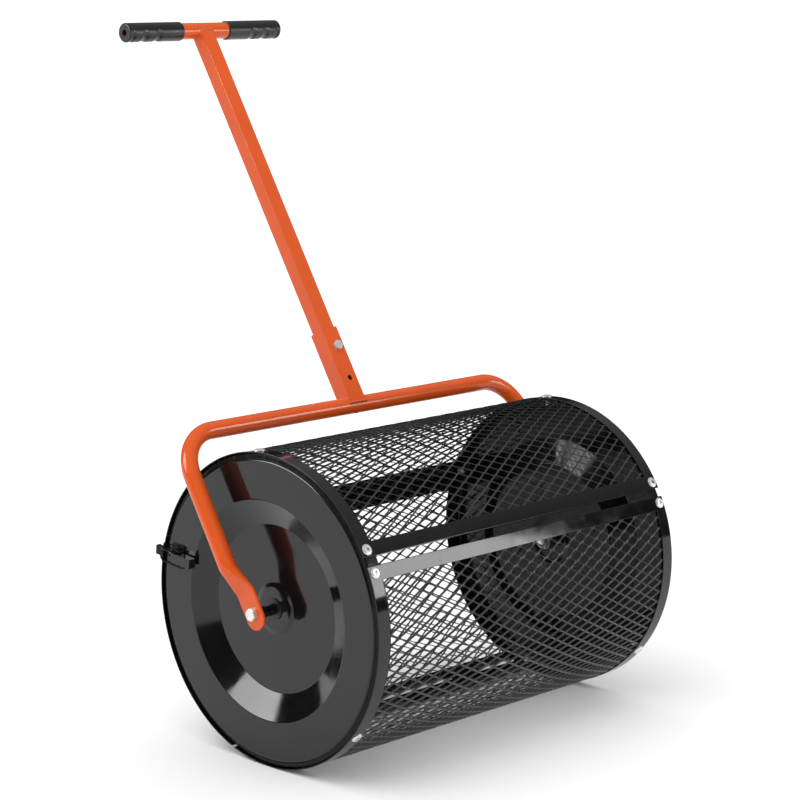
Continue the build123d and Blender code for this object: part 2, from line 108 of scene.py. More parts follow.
lean = 31.3
tube_radius = 12.5
tube_wall = 1.8
cope_radius = 12.6
arm_x = 340.0
crossbar_up = 268.0
bend_radius = 62.0
bend_oval = 0.03
tab_x = 326.0
tab_thickness = 5.0
tab_width = 36.0
tab_end_down = 5.0
tab_corner = 2.3
tab_top = 30.0
arm_bottom = 72.0
tbar_up = 901.0
tbar_half = 148.0
grip_radius = 14.5
grip_inner = 46.0
grip_hole = 4.8
pole_side = 25.0
pole_wall = 1.5
pole_bottom = 322.0
socket_side = 30.0
socket_wall = 2.0
socket_top = 389.0
socket_bolt = 359.0
spare_hole = 306.5
square_corner = 2.5
drain_radius = 3.0

bolt_radius = 4.0
hex_flats = 13.0
hex_head = 5.3
nut_height = 8.0
hub_bolt_radius = 5.0
hub_flats = 16.0
hub_head = 6.4
hub_nut = 8.4
sleeve_radius = 7.0
sleeve_shoulder = 8.0
bush_radius = 11.0
bush_flange_radius = 15.0
bush_play = 0.2
bush_flange = 2.0
bush_depth = 30.0
sleeve_depth = 34.0
washer_radius = 12.0
washer_thickness = 1.6
running_gap = 0.3
sleeve_play = 0.2
hub_hole_play = 0.3
bolt_hole_play = 0.25
bolt_past_nut = 2.0

screw_x = 296.0
screw_radius = 2.9
screw_head_radius = 7.8
screw_head = 3.0
screw_nut_flats = 10.0
screw_nut = 5.0
screw_inset = 9.7
screw_past_nut = 8.0
nut_gap = 0.15

# expanded metal: long and short way of a diamond, strand, and how far a strand tilts
diamond_long = 31.5
diamond_short = 16.0
strand_width = 2.1
strand_thickness = 1.0
strand_tilt = 1.0
web_inset = 8.0
lip_gap = 0.6
flat_margin = 2.0
flat_length = 6.0

weld_depth = 0.4
mesh_middle = drum_radius - sheet - weld_depth
sides = {"left": -1, "right": 1}


# ---------------------------------------------------------------- places
def radial(angle):
    """Unit vector from the axle, at an angle from +Y up towards +Z."""
    return Vector((0, cos(radians(angle)), sin(radians(angle))))


def arc_degrees(width):
    return degrees(width / drum_radius)


axle = Vector((0, 0, axle_height))
up_the_handle = Vector((0, sin(radians(lean)), cos(radians(lean))))
handle_front = Vector((0, -cos(radians(lean)), sin(radians(lean))))
x_axis = Vector((1, 0, 0))


def handle_point(x, up, front=0.0):
    """Point in the handle's own plane."""
    return axle + x_axis * x + up_the_handle * up + handle_front * front


def axes(origin, out, across=None):
    """Matrix that stands local z along a direction at a point, with local x across it."""
    z = Vector(out).normalized()
    x = Vector(across) if across is not None else z.orthogonal()
    x = (x - z * x.dot(z)).normalized()
    y = z.cross(x)
    placed = Matrix((x, y, z)).transposed().to_4x4()
    placed.translation = origin
    return placed


seam_half = arc_degrees(seam_gap / 2)
latch_half = arc_degrees(latch_gap / 2)
panels = {
    "upper_panel": (latch_seam + latch_half, front_seam - seam_half),
    "lower_panel": (front_seam + seam_half, hinge_seam + 360 - seam_half),
    "door": (hinge_seam + seam_half, latch_seam - latch_half),
}
bars = {
    "upper_panel": (arc_degrees(latch_bar_width), arc_degrees(bar_width)),
    "lower_panel": (arc_degrees(bar_width), arc_degrees(bar_width)),
    "door": (arc_degrees(bar_width), arc_degrees(latch_bar_width)),
}
screw_places = []
for panel in ("upper_panel", "lower_panel"):
    low, high = panels[panel]
    inset = arc_degrees(screw_inset)
    for side in sides.values():
        for angle in (low + inset, (low + high) / 2, high - inset):
            out = radial(angle)
            # every screw ends its last turn at an angle of its own
            turn = Vector((cos(angle), 0, 0)) + out.cross(x_axis) * sin(angle)
            screw_places.append((axle + x_axis * side * screw_x, out, turn))


# ---------------------------------------------------------------- materials
coat_roughness = 0.04
grain_depth = 0.3


def surface(
    name,
    colour,
    roughness,
    scale=1.0,
    metallic=0.0,
    coat=0.0,
    specular=0.5,
    grain=0.1,
    vary=0.08,
    worn=0.0,
    worn_colour=(0.3, 0.3, 0.3),
    spread=0.1,
):
    """Finish with broad colour variation, smudged roughness, a fine grain and rubbed edges."""
    material = bpy.data.materials.new(name)
    material.use_nodes = True
    tree = material.node_tree
    make, join = tree.nodes.new, tree.links.new
    shader = tree.nodes["Principled BSDF"]
    shader.inputs["Metallic"].default_value = metallic
    shader.inputs["Coat Weight"].default_value = coat
    shader.inputs["Coat Roughness"].default_value = coat_roughness
    shader.inputs["Specular IOR Level"].default_value = specular
    place = make("ShaderNodeTexCoord").outputs["Object"]

    def noise(size, detail=3.0):
        node = make("ShaderNodeTexNoise")
        node.inputs["Scale"].default_value = size
        node.inputs["Detail"].default_value = detail
        join(place, node.inputs["Vector"])
        return node.outputs["Fac"]

    def ramp(value, low, high, start, end):
        node = make("ShaderNodeMapRange")
        for socket, number in zip(("From Min", "From Max", "To Min", "To Max"), (low, high, start, end)):
            node.inputs[socket].default_value = number
        join(value, node.inputs["Value"])
        return node.outputs["Result"]

    def blend(fac, first, second):
        node = make("ShaderNodeMix")
        node.data_type = "RGBA"
        join(fac, node.inputs["Factor"])
        for socket, value in (("A", first), ("B", second)):
            target = [i for i in node.inputs if i.name == socket and i.type == "RGBA"][0]
            if isinstance(value, tuple):
                target.default_value = (*value, 1.0)
            else:
                join(value, target)
        return [o for o in node.outputs if o.type == "RGBA"][0]

    light = tuple(min(1.0, c * (1 + vary)) for c in colour)
    dark = tuple(c * (1 - vary) for c in colour)
    tone = blend(ramp(noise(9 * scale), 0.3, 0.7, 0, 1), dark, light)
    if worn:
        edge = ramp(make("ShaderNodeNewGeometry").outputs["Pointiness"], 0.53, 0.62, 0, worn)
        patchy = make("ShaderNodeMath")
        patchy.operation = "MULTIPLY"
        join(edge, patchy.inputs[0])
        join(ramp(noise(220 * scale), 0.45, 0.65, 0, 1), patchy.inputs[1])
        tone = blend(patchy.outputs[0], tone, worn_colour)
    join(tone, shader.inputs["Base Color"])
    smudge = ramp(noise(38 * scale, 5.0), 0.35, 0.7, roughness - spread / 2, roughness + spread)
    join(smudge, shader.inputs["Roughness"])
    bump = make("ShaderNodeBump")
    bump.inputs["Strength"].default_value = grain
    bump.inputs["Distance"].default_value = grain_depth * MM
    join(noise(520 * scale, 2.0), bump.inputs["Height"])
    join(bump.outputs["Normal"], shader.inputs["Normal"])
    return material


finish_table = {
    "orange_powder_coat": dict(
        colour=(0.65, 0.086, 0.010),
        roughness=0.16,
        coat=0.30,
        specular=0.25,
        grain=0.05,
        vary=0.05,
        worn=0.35,
        worn_colour=(0.8, 0.2, 0.06),
        spread=0.05,
    ),
    "black_powder_coat": dict(
        colour=(0.0045, 0.0045, 0.0048),
        roughness=0.09,
        coat=0.08,
        specular=0.44,
        grain=0.02,
        vary=0.25,
        worn=0.5,
        worn_colour=(0.05, 0.05, 0.05),
        spread=0.06,
    ),
    "expanded_metal_coat": dict(
        colour=(0.023, 0.023, 0.024), roughness=0.36, scale=2.0, specular=0.6, grain=0.05, vary=0.3
    ),
    # dark satin finish of the latches and hinges, also used as painted shade in the groove along the cap rims
    "satin_black_and_groove_shade": dict(
        colour=(0.004, 0.004, 0.0042), roughness=0.22, scale=2.0, specular=0.16, grain=0.06, vary=0.25
    ),
    # darker, duller copy of the black coat: painted shade for the inside of the drum
    "inner_painted_shade": dict(colour=(0.0035, 0.0035, 0.0038), roughness=0.10, specular=0.28, grain=0.02, vary=0.25),
    # darker copy of the zinc: painted shade for the hub hardware inside the drum
    "zinc_with_painted_shade": dict(colour=(0.30, 0.31, 0.32), roughness=0.45, scale=3.0, metallic=1.0, grain=0.12, vary=0.15),
    "zinc_steel": dict(
        colour=(0.78, 0.79, 0.80),
        roughness=0.34,
        scale=3.0,
        metallic=0.75,
        grain=0.12,
        vary=0.12,
        worn=0.4,
        worn_colour=(0.85, 0.86, 0.88),
    ),
    "black_rubber": dict(colour=(0.009, 0.009, 0.0095), roughness=0.30, scale=1.4, grain=0.18, vary=0.2),
    "black_nylon": dict(colour=(0.012, 0.012, 0.012), roughness=0.42, scale=1.4, grain=0.2, vary=0.2),
}
finishes = {name: surface(name, **look) for name, look in finish_table.items()}


# ---------------------------------------------------------------- shapes: (points, faces) in millimetres
def moved(shape, matrix):
    points, faces = shape
    turned = np.array(points, float) @ np.array(matrix.to_3x3()).T + np.array(matrix.translation)
    return turned.tolist(), faces


def joined(shapes):
    points, faces = [], []
    for some_points, some_faces in shapes:
        start = len(points)
        points.extend(some_points)
        faces.extend([[i + start for i in face] for face in some_faces])
    return points, faces


def rounded(corners, radii, step=12.0, closed=False):
    """Polyline with its corners rounded, one radius each, turning by a few degrees a step."""
    if not isinstance(radii, (list, tuple)):
        radii = [radii] * len(corners)
    count = len(corners)
    path = []
    for i, corner in enumerate(corners):
        here = Vector(corner)
        if (not closed and i in (0, count - 1)) or radii[i] <= 0:
            path.append(tuple(here))
            continue
        back = Vector(corners[i - 1]) - here
        ahead = Vector(corners[(i + 1) % count]) - here
        opening = back.angle(ahead)
        turn = pi - opening
        if turn < 0.02:
            path.append(tuple(here))
            continue
        cut = min(radii[i] * tan(turn / 2), 0.49 * back.length, 0.49 * ahead.length)
        radius = cut / tan(turn / 2)
        middle = here + (back.normalized() + ahead.normalized()).normalized() * (radius / sin(opening / 2))
        first = here + back.normalized() * cut - middle
        last = here + ahead.normalized() * cut - middle
        steps = max(2, int(degrees(turn) / step) + 1)
        for k in range(steps + 1):
            share = k / steps
            mixed = (first * sin((1 - share) * turn) + last * sin(share * turn)) / sin(turn)
            path.append(tuple(middle + mixed))
    return path


def thicken(path, thickness):
    """Closed outline of a sheet whose middle line is given."""
    outer, inner = [], []
    for i, point in enumerate(path):
        before = Vector(path[max(i - 1, 0)])
        after = Vector(path[min(i + 1, len(path) - 1)])
        along = (after - before).normalized()
        normal = Vector((-along.y, along.x)) * thickness / 2
        outer.append(tuple(Vector(point) + normal))
        inner.append(tuple(Vector(point) - normal))
    return outer + inner[::-1]


def revolved(outline, segments=48, closed=True):
    """Outline of (radius, height) turned about local z. Points on the axis are shared."""
    points, rings = [], []
    for radius, height in outline:
        if radius < 1e-6:
            rings.append([len(points)] * segments)
            points.append((0, 0, height))
            continue
        rings.append(list(range(len(points), len(points) + segments)))
        for k in range(segments):
            angle = 2 * pi * k / segments
            points.append((radius * cos(angle), radius * sin(angle), height))
    faces = []
    count = len(rings) if closed else len(rings) - 1
    for i in range(count):
        a, b = rings[i], rings[(i + 1) % len(rings)]
        for k in range(segments):
            face = [a[k], a[(k + 1) % segments], b[(k + 1) % segments], b[k]]
            face = [v for j, v in enumerate(face) if v not in face[:j]]
            if len(face) > 2:
                faces.append(face)
    return points, faces


def lofted(rings, closed_ends=True):
    """Skin over rings of points with the same count."""
    count = len(rings[0])
    points = [tuple(p) for ring in rings for p in ring]
    faces = []
    for i in range(len(rings) - 1):
        for k in range(count):
            a, b = i * count + k, i * count + (k + 1) % count
            faces.append([a, b, b + count, a + count])
    if closed_ends:
        faces.append(list(range(count))[::-1])
        faces.append([(len(rings) - 1) * count + k for k in range(count)])
    return points, faces


def looped(rings):
    """Skin over rings that runs from the last one back to the first."""
    points, faces = lofted(rings + [rings[0]], closed_ends=False)
    kept = len(points) - len(rings[0])
    return points[:kept], [[v % kept for v in face] for face in faces]


def rod(radius, reach, segments):
    """Round bar of the same reach both ways along local z."""
    return revolved([(0, -reach), (radius, -reach), (radius, reach), (0, reach)], segments, closed=False)


def hexagon(flats, height, bore=None):
    """Bolt head on local z with a shallow dish in its top or, with a bore, a nut chamfered at both ends."""
    count, edge = 48, 0.5
    top_radius = flats / 2 * 0.96
    angles = [2 * pi * k / count for k in range(count)]
    reaches = [flats / 2 / cos((angle + pi / 6) % (pi / 3) - pi / 6) for angle in angles]
    drops = [(reach - top_radius) * tan(radians(30)) for reach in reaches]

    def ring(radii, heights):
        return [(r * cos(a), r * sin(a), h) for r, a, h in zip(radii, angles, heights)]

    def circle(radius, h):
        return ring([radius] * count, [h] * count)

    upper = [ring(reaches, [height - drop for drop in drops]), circle(top_radius, height)]
    if bore:
        lower = [circle(top_radius, 0.0), ring(reaches, drops)]
        mouth = bore + edge
        hole = [circle(mouth, height), circle(bore, height - edge), circle(bore, edge), circle(mouth, 0.0)]
        return looped(lower + upper + hole)
    dish = [circle(top_radius * 0.72, height), circle(top_radius * 0.62, height - edge)]
    return lofted([ring(reaches, [0.0] * count)] + upper + dish)


def bolt(flats, head, radius, reach):
    """Hexagon bolt with its head on local z and its shank reaching down to a chamfered end."""
    chamfer, overlap = 0.8, 0.2
    shank = [(0, -reach), (radius - chamfer, -reach), (radius, -reach + chamfer), (radius, overlap), (0, overlap)]
    return joined([hexagon(flats, head), revolved(shank, 32, closed=False)])


def square_ring(half_x, half_y, radius, steps=6, straight=3):
    """Rounded rectangle, always with the same number of points."""
    corners = ((1, 1, 0), (-1, 1, 90), (-1, -1, 180), (1, -1, 270))
    radius = min(radius, half_x, half_y)
    points = []
    for i, (sx, sy, start) in enumerate(corners):
        centre = (sx * (half_x - radius), sy * (half_y - radius))
        turns = [radians(start + 90 * k / steps) for k in range(steps + 1)]
        arc = [(centre[0] + radius * cos(turn), centre[1] + radius * sin(turn)) for turn in turns]
        points.extend(arc)
        nx, ny, nstart = corners[(i + 1) % 4]
        following = (
            nx * (half_x - radius) + radius * cos(radians(nstart)),
            ny * (half_y - radius) + radius * sin(radians(nstart)),
        )
        for k in range(1, straight):
            share = k / straight
            x = arc[-1][0] + (following[0] - arc[-1][0]) * share
            y = arc[-1][1] + (following[1] - arc[-1][1]) * share
            points.append((x, y))
    return points


def tube(outer, inner, heights):
    """Hollow prism between two outlines with the same number of points, along local z."""
    rings = [[(*p, h) for p in outer] for h in heights]
    rings += [[(*p, h) for p in inner] for h in reversed(heights)]
    return looped(rings)


# the step from a cell to each of its neighbours, and the corners of the side between them
cell_sides = (
    ((1, 0, 0), ((1, 0, 0), (1, 1, 0), (1, 1, 1), (1, 0, 1))),
    ((-1, 0, 0), ((0, 0, 0), (0, 0, 1), (0, 1, 1), (0, 1, 0))),
    ((0, 1, 0), ((0, 1, 0), (0, 1, 1), (1, 1, 1), (1, 1, 0))),
    ((0, -1, 0), ((0, 0, 0), (1, 0, 0), (1, 0, 1), (0, 0, 1))),
    ((0, 0, 1), ((0, 0, 1), (1, 0, 1), (1, 1, 1), (0, 1, 1))),
    ((0, 0, -1), ((0, 0, 0), (0, 1, 0), (1, 1, 0), (1, 0, 0))),
)


def blocks(xs, ys, zs, is_filled):
    """Closed skin round the filled cells of a grid."""
    index, points, faces = {}, [], []
    sizes = (len(xs) - 1, len(ys) - 1, len(zs) - 1)

    def corner(i, j, k):
        key = (i, j, k)
        if key not in index:
            index[key] = len(points)
            points.append((xs[i], ys[j], zs[k]))
        return index[key]

    def solid(*cell):
        return all(0 <= place < size for place, size in zip(cell, sizes)) and is_filled(*cell)

    for cell in np.ndindex(sizes):
        if not solid(*cell):
            continue
        for step, corners in cell_sides:
            if not solid(*(place + way for place, way in zip(cell, step))):
                faces.append([corner(*(place + way for place, way in zip(cell, ways))) for ways in corners])
    return points, faces


def wrapped(points):
    """Flat sheet of (x, angle in degrees, radius) bent round the axle."""
    return [(x, r * cos(radians(a)), axle_height + r * sin(radians(a))) for x, a, r in points]


# ---------------------------------------------------------------- making pieces
merge_distance = 0.004


def add_object(name, data):
    item = bpy.data.objects.new(name, data)
    bpy.context.scene.collection.objects.link(item)
    return item


def plain_object(name, shape):
    """Mesh object from points and faces, with doubled points merged and faces turned outwards."""
    points, faces = shape
    mesh = bpy.data.meshes.new(name)
    mesh.from_pydata((np.array(points, float) * MM).tolist(), [], faces)
    work = bmesh.new()
    work.from_mesh(mesh)
    bmesh.ops.remove_doubles(work, verts=work.verts, dist=merge_distance * MM)
    bmesh.ops.dissolve_degenerate(work, edges=work.edges, dist=merge_distance * MM)
    bmesh.ops.recalc_face_normals(work, faces=work.faces)
    work.to_mesh(mesh)
    work.free()
    return add_object(name, mesh)


def apply_modifiers(item):
    """Keeps what the modifiers make, and drops the modifiers."""
    evaluated = item.evaluated_get(bpy.context.evaluated_depsgraph_get())
    mesh = bpy.data.meshes.new_from_object(evaluated)
    item.modifiers.clear()
    item.data = mesh


def cut(item, cutters):
    """Takes shapes away from an object."""
    for shape in cutters:
        tool = plain_object("cutter", shape)
        step = item.modifiers.new("cut", "BOOLEAN")
        step.operation = "DIFFERENCE"
        step.solver = "EXACT"
        step.object = tool
        bpy.context.view_layer.update()
        apply_modifiers(item)
        bpy.data.objects.remove(tool)


def piece(name, shape, stands_for, bevel=0.0, sharp=38.0, cutters=(), slot=None, body=None, segments=2, finish=None):
    """Finished piece: cut, bevelled, shaded, painted, riding on the body of the node it stands for."""
    item = plain_object(name, shape)
    cut(item, cutters)
    if bevel:
        step = item.modifiers.new("bevel", "BEVEL")
        step.width = bevel * MM
        step.segments = segments
        step.limit_method = "ANGLE"
        step.angle_limit = radians(sharp)
        apply_modifiers(item)
    mesh = item.data
    mesh.shade_smooth()
    mesh.set_sharp_from_angle(angle=radians(sharp))
    item.modifiers.new("normals", "WEIGHTED_NORMAL").keep_sharp = True
    first = stands_for[0] if stands_for else None
    slot = slot or node_slot[first]
    mesh.materials.clear()
    mesh.materials.append(finishes[finish or slot])
    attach(item, body or nodes[first]["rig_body"])
    if stands_for:
        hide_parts(*stands_for)
    return item


def bead(path, radius, ripple=0.25, pitch=2.2, facets=10):
    """Weld bead along a closed line: a round section that swells at each ripple."""
    rings = []
    travelled = 0.0
    for i, point in enumerate(path):
        here, before, after = Vector(point), Vector(path[i - 1]), Vector(path[(i + 1) % len(path)])
        along = (after - before).normalized()
        a = along.orthogonal().normalized() if not rings else (a - along * a.dot(along)).normalized()
        b = along.cross(a)
        travelled += (here - before).length if i else 0.0
        size = radius * (1 + ripple * abs(sin(pi * travelled / pitch)) - ripple / 2)
        turns = [2 * pi * k / facets for k in range(facets)]
        rings.append([here + (a * cos(turn) + b * sin(turn)) * size for turn in turns])
    first, last = rings[0], rings[-1]
    # the last ring joins the first where their points lie closest
    shift = min(range(facets), key=lambda s: sum((last[k] - first[(k + s) % facets]).length for k in range(facets)))
    rings.append([first[(k + shift) % facets] for k in range(facets)])
    return lofted(rings, closed_ends=False)


def densified(path, step):
    """Closed polyline with points added so that none are far apart."""
    dense = []
    for i, point in enumerate(path):
        here, there = Vector(point), Vector(path[(i + 1) % len(path)])
        count = max(1, int((there - here).length / step))
        dense.extend([tuple(here.lerp(there, k / count)) for k in range(count)])
    return dense


# ---------------------------------------------------------------- drum: end caps and hubs
for word, side in sides.items():
    into = axes(axle + x_axis * side * half_length, (-side, 0, 0), (0, 1, 0))
    middle = cap_sheet / 2
    floor = recess_depth - middle
    section = rounded(
        [
            (bush_radius, floor - boss_rise),
            (boss_radius - 1, floor - boss_rise),
            (boss_radius + boss_spread * boss_rise, floor),
            (recess_inner_radius, floor),
            (recess_outer_radius, middle),
            (rim_radius, middle),
            (rim_radius + rim_groove, middle + 0.6 * rim_step),
            (flange_radius - middle, middle + rim_step),
            (flange_radius - middle, flange_length),
        ],
        [0, 12.0, 12.0, 4.0, 4.0, 3.2, 1.2, 1.2, 0],
        step=9.0,
    )
    dish = revolved(thicken(section, cap_sheet), 256)
    cap = piece(f"cap_{word}", moved(dish, into), [f"end_cap_{word}"], sharp=50)
    # the inside of the dish is given a darker, duller copy of the black coat, painted shade for the inside of the
    # drum, and the groove along the rim a dark satin finish, painted shade in the groove
    cap.data.materials.append(finishes["inner_painted_shade"])
    cap.data.materials.append(finishes["satin_black_and_groove_shade"])
    for face in cap.data.polygons:
        from_axle = Vector((0, face.center.y, face.center.z - axle_height * MM))
        faces_in = face.normal.x * side < -0.05
        faces_axle = from_axle.length > 0.97 * flange_radius * MM and face.normal.dot(from_axle.normalized()) < -0.5
        if faces_in or faces_axle:
            face.material_index = 1
        # faces in the groove along the rim take the dark satin finish: painted shade in the groove
        elif from_axle.length > (rim_radius + rim_groove * 2 / 3) * MM:
            face.material_index = 2

    boss_face = recess_depth - boss_rise - cap_sheet
    bush = rounded(
        [
            (sleeve_radius + bush_play, boss_face - bush_flange),
            (bush_flange_radius, boss_face - bush_flange),
            (bush_flange_radius, boss_face),
            (bush_radius, boss_face),
            (bush_radius, bush_depth),
            (sleeve_radius + bush_play, bush_depth),
        ],
        0.45,
        step=30,
        closed=True,
    )
    piece(f"bush_{word}", moved(revolved(bush, 64), into), [f"hub_bush_{word}"])

    tab_inner = tab_x - tab_thickness / 2
    tab_outer = tab_x + tab_thickness / 2
    shoulder_end = boss_face - bush_flange - running_gap
    sleeve = rounded(
        [
            (hub_bolt_radius + sleeve_play, half_length - tab_inner),
            (sleeve_shoulder, half_length - tab_inner),
            (sleeve_shoulder, shoulder_end),
            (sleeve_radius, shoulder_end),
            (sleeve_radius, sleeve_depth),
            (hub_bolt_radius + sleeve_play, sleeve_depth),
        ],
        0.35,
        step=30,
        closed=True,
    )
    piece(f"sleeve_{word}", moved(revolved(sleeve, 64), into), [f"axle_sleeve_{word}"])

    nut_face = half_length - sleeve_depth - washer_thickness
    reach = tab_outer - nut_face + hub_nut + bolt_past_nut
    at_tab = axes(axle + x_axis * side * tab_outer, (side, 0, 0), (0, 0.8, 0.6))
    hub_bolt = bolt(hub_flats, hub_head, hub_bolt_radius, reach)
    piece(f"hub_bolt_{word}", moved(hub_bolt, at_tab), [f"axle_bolt_{word}"], sharp=24)
    washer_hole = hub_bolt_radius + hub_hole_play
    ring = rounded(
        [(washer_hole, 0), (washer_radius, 0), (washer_radius, washer_thickness), (washer_hole, washer_thickness)],
        0.35,
        step=30,
        closed=True,
    )
    at_nut = axes(axle + x_axis * side * nut_face, (side, 0, 0), (0, 1, 0))
    # washer and nut sit inside the drum and take the darker zinc: painted shade
    piece(f"hub_washer_{word}", moved(revolved(ring, 48), at_nut), [f"axle_washer_{word}"], finish="zinc_with_painted_shade")
    inward = axes(axle + x_axis * side * nut_face, (-side, 0, 0), (0, 1, 0))
    nut = moved(hexagon(hub_flats, hub_nut, hub_bolt_radius), inward)
    piece(f"hub_nut_{word}", nut, [f"axle_nut_{word}"], sharp=24, finish="zinc_with_painted_shade")

# ---------------------------------------------------------------- drum: strip frames
lip_half = half_length - flange_length - 2.0
inner_edge = band_edge - band_width
lip = arc_degrees(sheet)
arc_step = 1.6
for panel, (low, high) in panels.items():
    xs = [-band_edge, -inner_edge, *np.linspace(-lip_half, lip_half, 9), inner_edge, band_edge]
    low_bar, high_bar = bars[panel]
    inside = np.linspace(low + low_bar, high - high_bar, max(4, int((high - low) / arc_step)))
    angles = [low, low + lip, *np.linspace(low + lip, low + low_bar, 5)[1:-1], *inside]
    angles += [*np.linspace(high - high_bar, high - lip, 5)[1:-1], high - lip, high]
    # clear of the hinges, the end bands of the door and of its neighbour reach closer together
    if panel == "door":
        angles.insert(0, low - arc_degrees(door_tongue))
    if panel == "lower_panel":
        angles.append(high + arc_degrees(lower_tongue))
    radii = [drum_radius - sheet - bar_lip, drum_radius - sheet, drum_radius]

    def strip(i, j, k):
        x = (xs[i] + xs[i + 1]) / 2
        angle = (angles[j] + angles[j + 1]) / 2
        if not low < angle < high:
            return k == 1 and abs(x) > inner_edge
        if k == 0:
            return abs(x) < lip_half and (angle < low + lip or angle > high - lip)
        return abs(x) > inner_edge or angle < low + low_bar or angle > high - high_bar

    points, faces = blocks(xs, angles, radii, strip)
    piece(f"{panel}_strips", (wrapped(points), faces), [f"{panel}_frame"], bevel=0.45, segments=3)


# ---------------------------------------------------------------- drum: expanded metal
def expanded(low, high):
    """Web of diamonds between two angles: strands tilt about their own line, as they do off the press."""
    width = radians(high - low) * mesh_middle
    half_x, half_y = diamond_long / 2, diamond_short / 2
    inset = 1 - strand_width / 2 / (half_x * half_y / hypot(half_x, half_y))
    corners = [(half_x, 0), (0, half_y), (-half_x, 0), (0, -half_y)]
    steps = 3
    blunt_end, blunt_side = 0.945, 0.96
    outer, inner = [], []
    for i, corner in enumerate(corners):
        following = corners[(i + 1) % 4]
        for k in range(steps):
            share = k / steps
            x = corner[0] + (following[0] - corner[0]) * share
            y = corner[1] + (following[1] - corner[1]) * share
            outer.append((x, y))
            # the corners of an opening are drawn in a little
            corner_in = blunt_end if i % 2 == 0 else blunt_side
            blunt = corner_in if k == 0 else 1.0
            inner.append((x * inset * blunt, y * inset * blunt))
    outer, inner = np.array(outer), np.array(inner)
    count = len(outer)
    height = -strand_tilt * np.clip(inner[:, 1] / half_y * 1.5, -1, 1)
    half = strand_thickness / 2
    template = np.vstack(
        [
            np.column_stack([outer, np.full(count, half)]),
            np.column_stack([inner, height + half]),
            np.column_stack([inner, height - half]),
            np.column_stack([outer, np.full(count, -half)]),
        ]
    )
    quads = []
    for layer in range(3):
        for k in range(count):
            a, b = layer * count + k, layer * count + (k + 1) % count
            quads.append([a, b, b + count, a + count])
    quads = np.array(quads)
    reach_x = band_edge - web_inset
    columns = int(reach_x / half_x) + 2
    rows = int(width / 2 / half_y) + 2
    cells = [(i, j) for i in range(-columns, columns + 1) for j in range(-rows, rows + 1) if (i + j) % 2]
    centres = [(i * half_x, j * half_y) for i, j in cells]
    points = np.concatenate([template + (x, y, 0) for x, y in centres])
    faces = np.concatenate([quads + n * len(template) for n in range(len(centres))])
    work = bmesh.new()
    mesh = bpy.data.meshes.new("web")
    mesh.from_pydata(points.tolist(), [], faces.tolist())
    work.from_mesh(mesh)
    bpy.data.meshes.remove(mesh)
    bmesh.ops.remove_doubles(work, verts=work.verts, dist=0.01)
    edge_y = width / 2 - sheet - lip_gap
    for place, normal in (
        ((reach_x, 0, 0), (1, 0, 0)),
        ((-reach_x, 0, 0), (-1, 0, 0)),
        ((0, edge_y, 0), (0, 1, 0)),
        ((0, -edge_y, 0), (0, -1, 0)),
    ):
        everything = work.verts[:] + work.edges[:] + work.faces[:]
        bmesh.ops.bisect_plane(work, geom=everything, plane_co=place, plane_no=normal, clear_outer=True)
        rim = [e for e in work.edges if e.is_boundary]
        bmesh.ops.holes_fill(work, edges=rim, sides=0)
    # strands lie flat where they are welded under the frame
    free_x = band_edge - band_width - flat_margin
    free_y = width / 2 - bar_width - flat_margin
    for vert in work.verts:
        x, y, z = vert.co
        past = max(abs(x) - free_x, abs(y) - free_y)
        flat = min(1.0, max(0.0, past / flat_length))
        z = z * (1 - flat) + max(-weld_depth, min(weld_depth, z)) * flat
        vert.co = (x, degrees(y / mesh_middle) + (low + high) / 2, mesh_middle + z)
    points = [tuple(v.co) for v in work.verts]
    index = {v: n for n, v in enumerate(work.verts)}
    faces = [[index[v] for v in face.verts] for face in work.faces]
    work.free()
    return wrapped(points), faces


for panel, (low, high) in panels.items():
    piece(f"{panel}_expanded_metal", expanded(low, high), [f"{panel}_mesh"], sharp=30, finish="expanded_metal_coat")

# ---------------------------------------------------------------- drum: screws and their nuts
dome = rounded(
    [(screw_head_radius, 0), (screw_head_radius, 1.3), (screw_head_radius * 0.72, screw_head), (0, screw_head)],
    [0, 1.2, 2.4, 0],
)
tip = 0.6
tail = -screw_nut - screw_past_nut
shank = [(0, tail), (screw_radius - tip, tail), (screw_radius, tail + tip), (screw_radius, 0)]
screw = revolved([*shank, *dome], 40, closed=False)
# one slot of the cross recess, narrower at its foot: half length, half width, height
slot_sections = ((2.6, 0.8, 0.8), (4.3, 1.15, screw_head + 1))
slot_corners = ((1, 1), (-1, 1), (-1, -1), (1, -1))
arm = [[(sx * w, sy * h, z) for sx, sy in slot_corners] for w, h, z in slot_sections]
placed_screws = []
recesses = []
for centre, out, turn in screw_places:
    place = axes(centre + out * drum_radius, out, turn)
    placed_screws.append(moved(screw, place))
    for quarter in (0, 90):
        recesses.append(moved(lofted(arm), place @ Matrix.Rotation(radians(quarter), 4, "Z")))
slots = [joined(recesses[0::2]), joined(recesses[1::2])]
piece("panel_screw_set", joined(placed_screws), ["panel_screws"], cutters=slots, sharp=35)
nut = hexagon(screw_nut_flats, screw_nut, screw_radius)
placed_nuts = []
for centre, out, turn in screw_places:
    place = axes(centre + out * (flange_radius - cap_sheet - nut_gap), -out, out.cross(x_axis))
    placed_nuts.append(moved(nut, place))
piece("panel_nut_set", joined(placed_nuts), ["panel_nuts"], sharp=24)

# ---------------------------------------------------------------- handle: bent tube with flattened ends
def tube_section(centre, across, half_x, half_y, radius):
    """Rounded section of the bent tube: half_x across, half_y towards the handle's front."""
    return [centre + across * a + handle_front * b for a, b in square_ring(half_x, half_y, radius, steps=12)]


def ease(share):
    share = min(1.0, max(0.0, share))
    return share * share * (3 - 2 * share)


def slope(share):
    """Straight climb from 0 to 1 with a short curve at each end."""
    curve = 0.16
    share = min(1.0, max(0.0, share))
    if share < curve:
        return share**2 / (2 * curve * (1 - curve))
    if share > 1 - curve:
        return 1 - (1 - share) ** 2 / (2 * curve * (1 - curve))
    return (share - curve / 2) / (1 - curve)


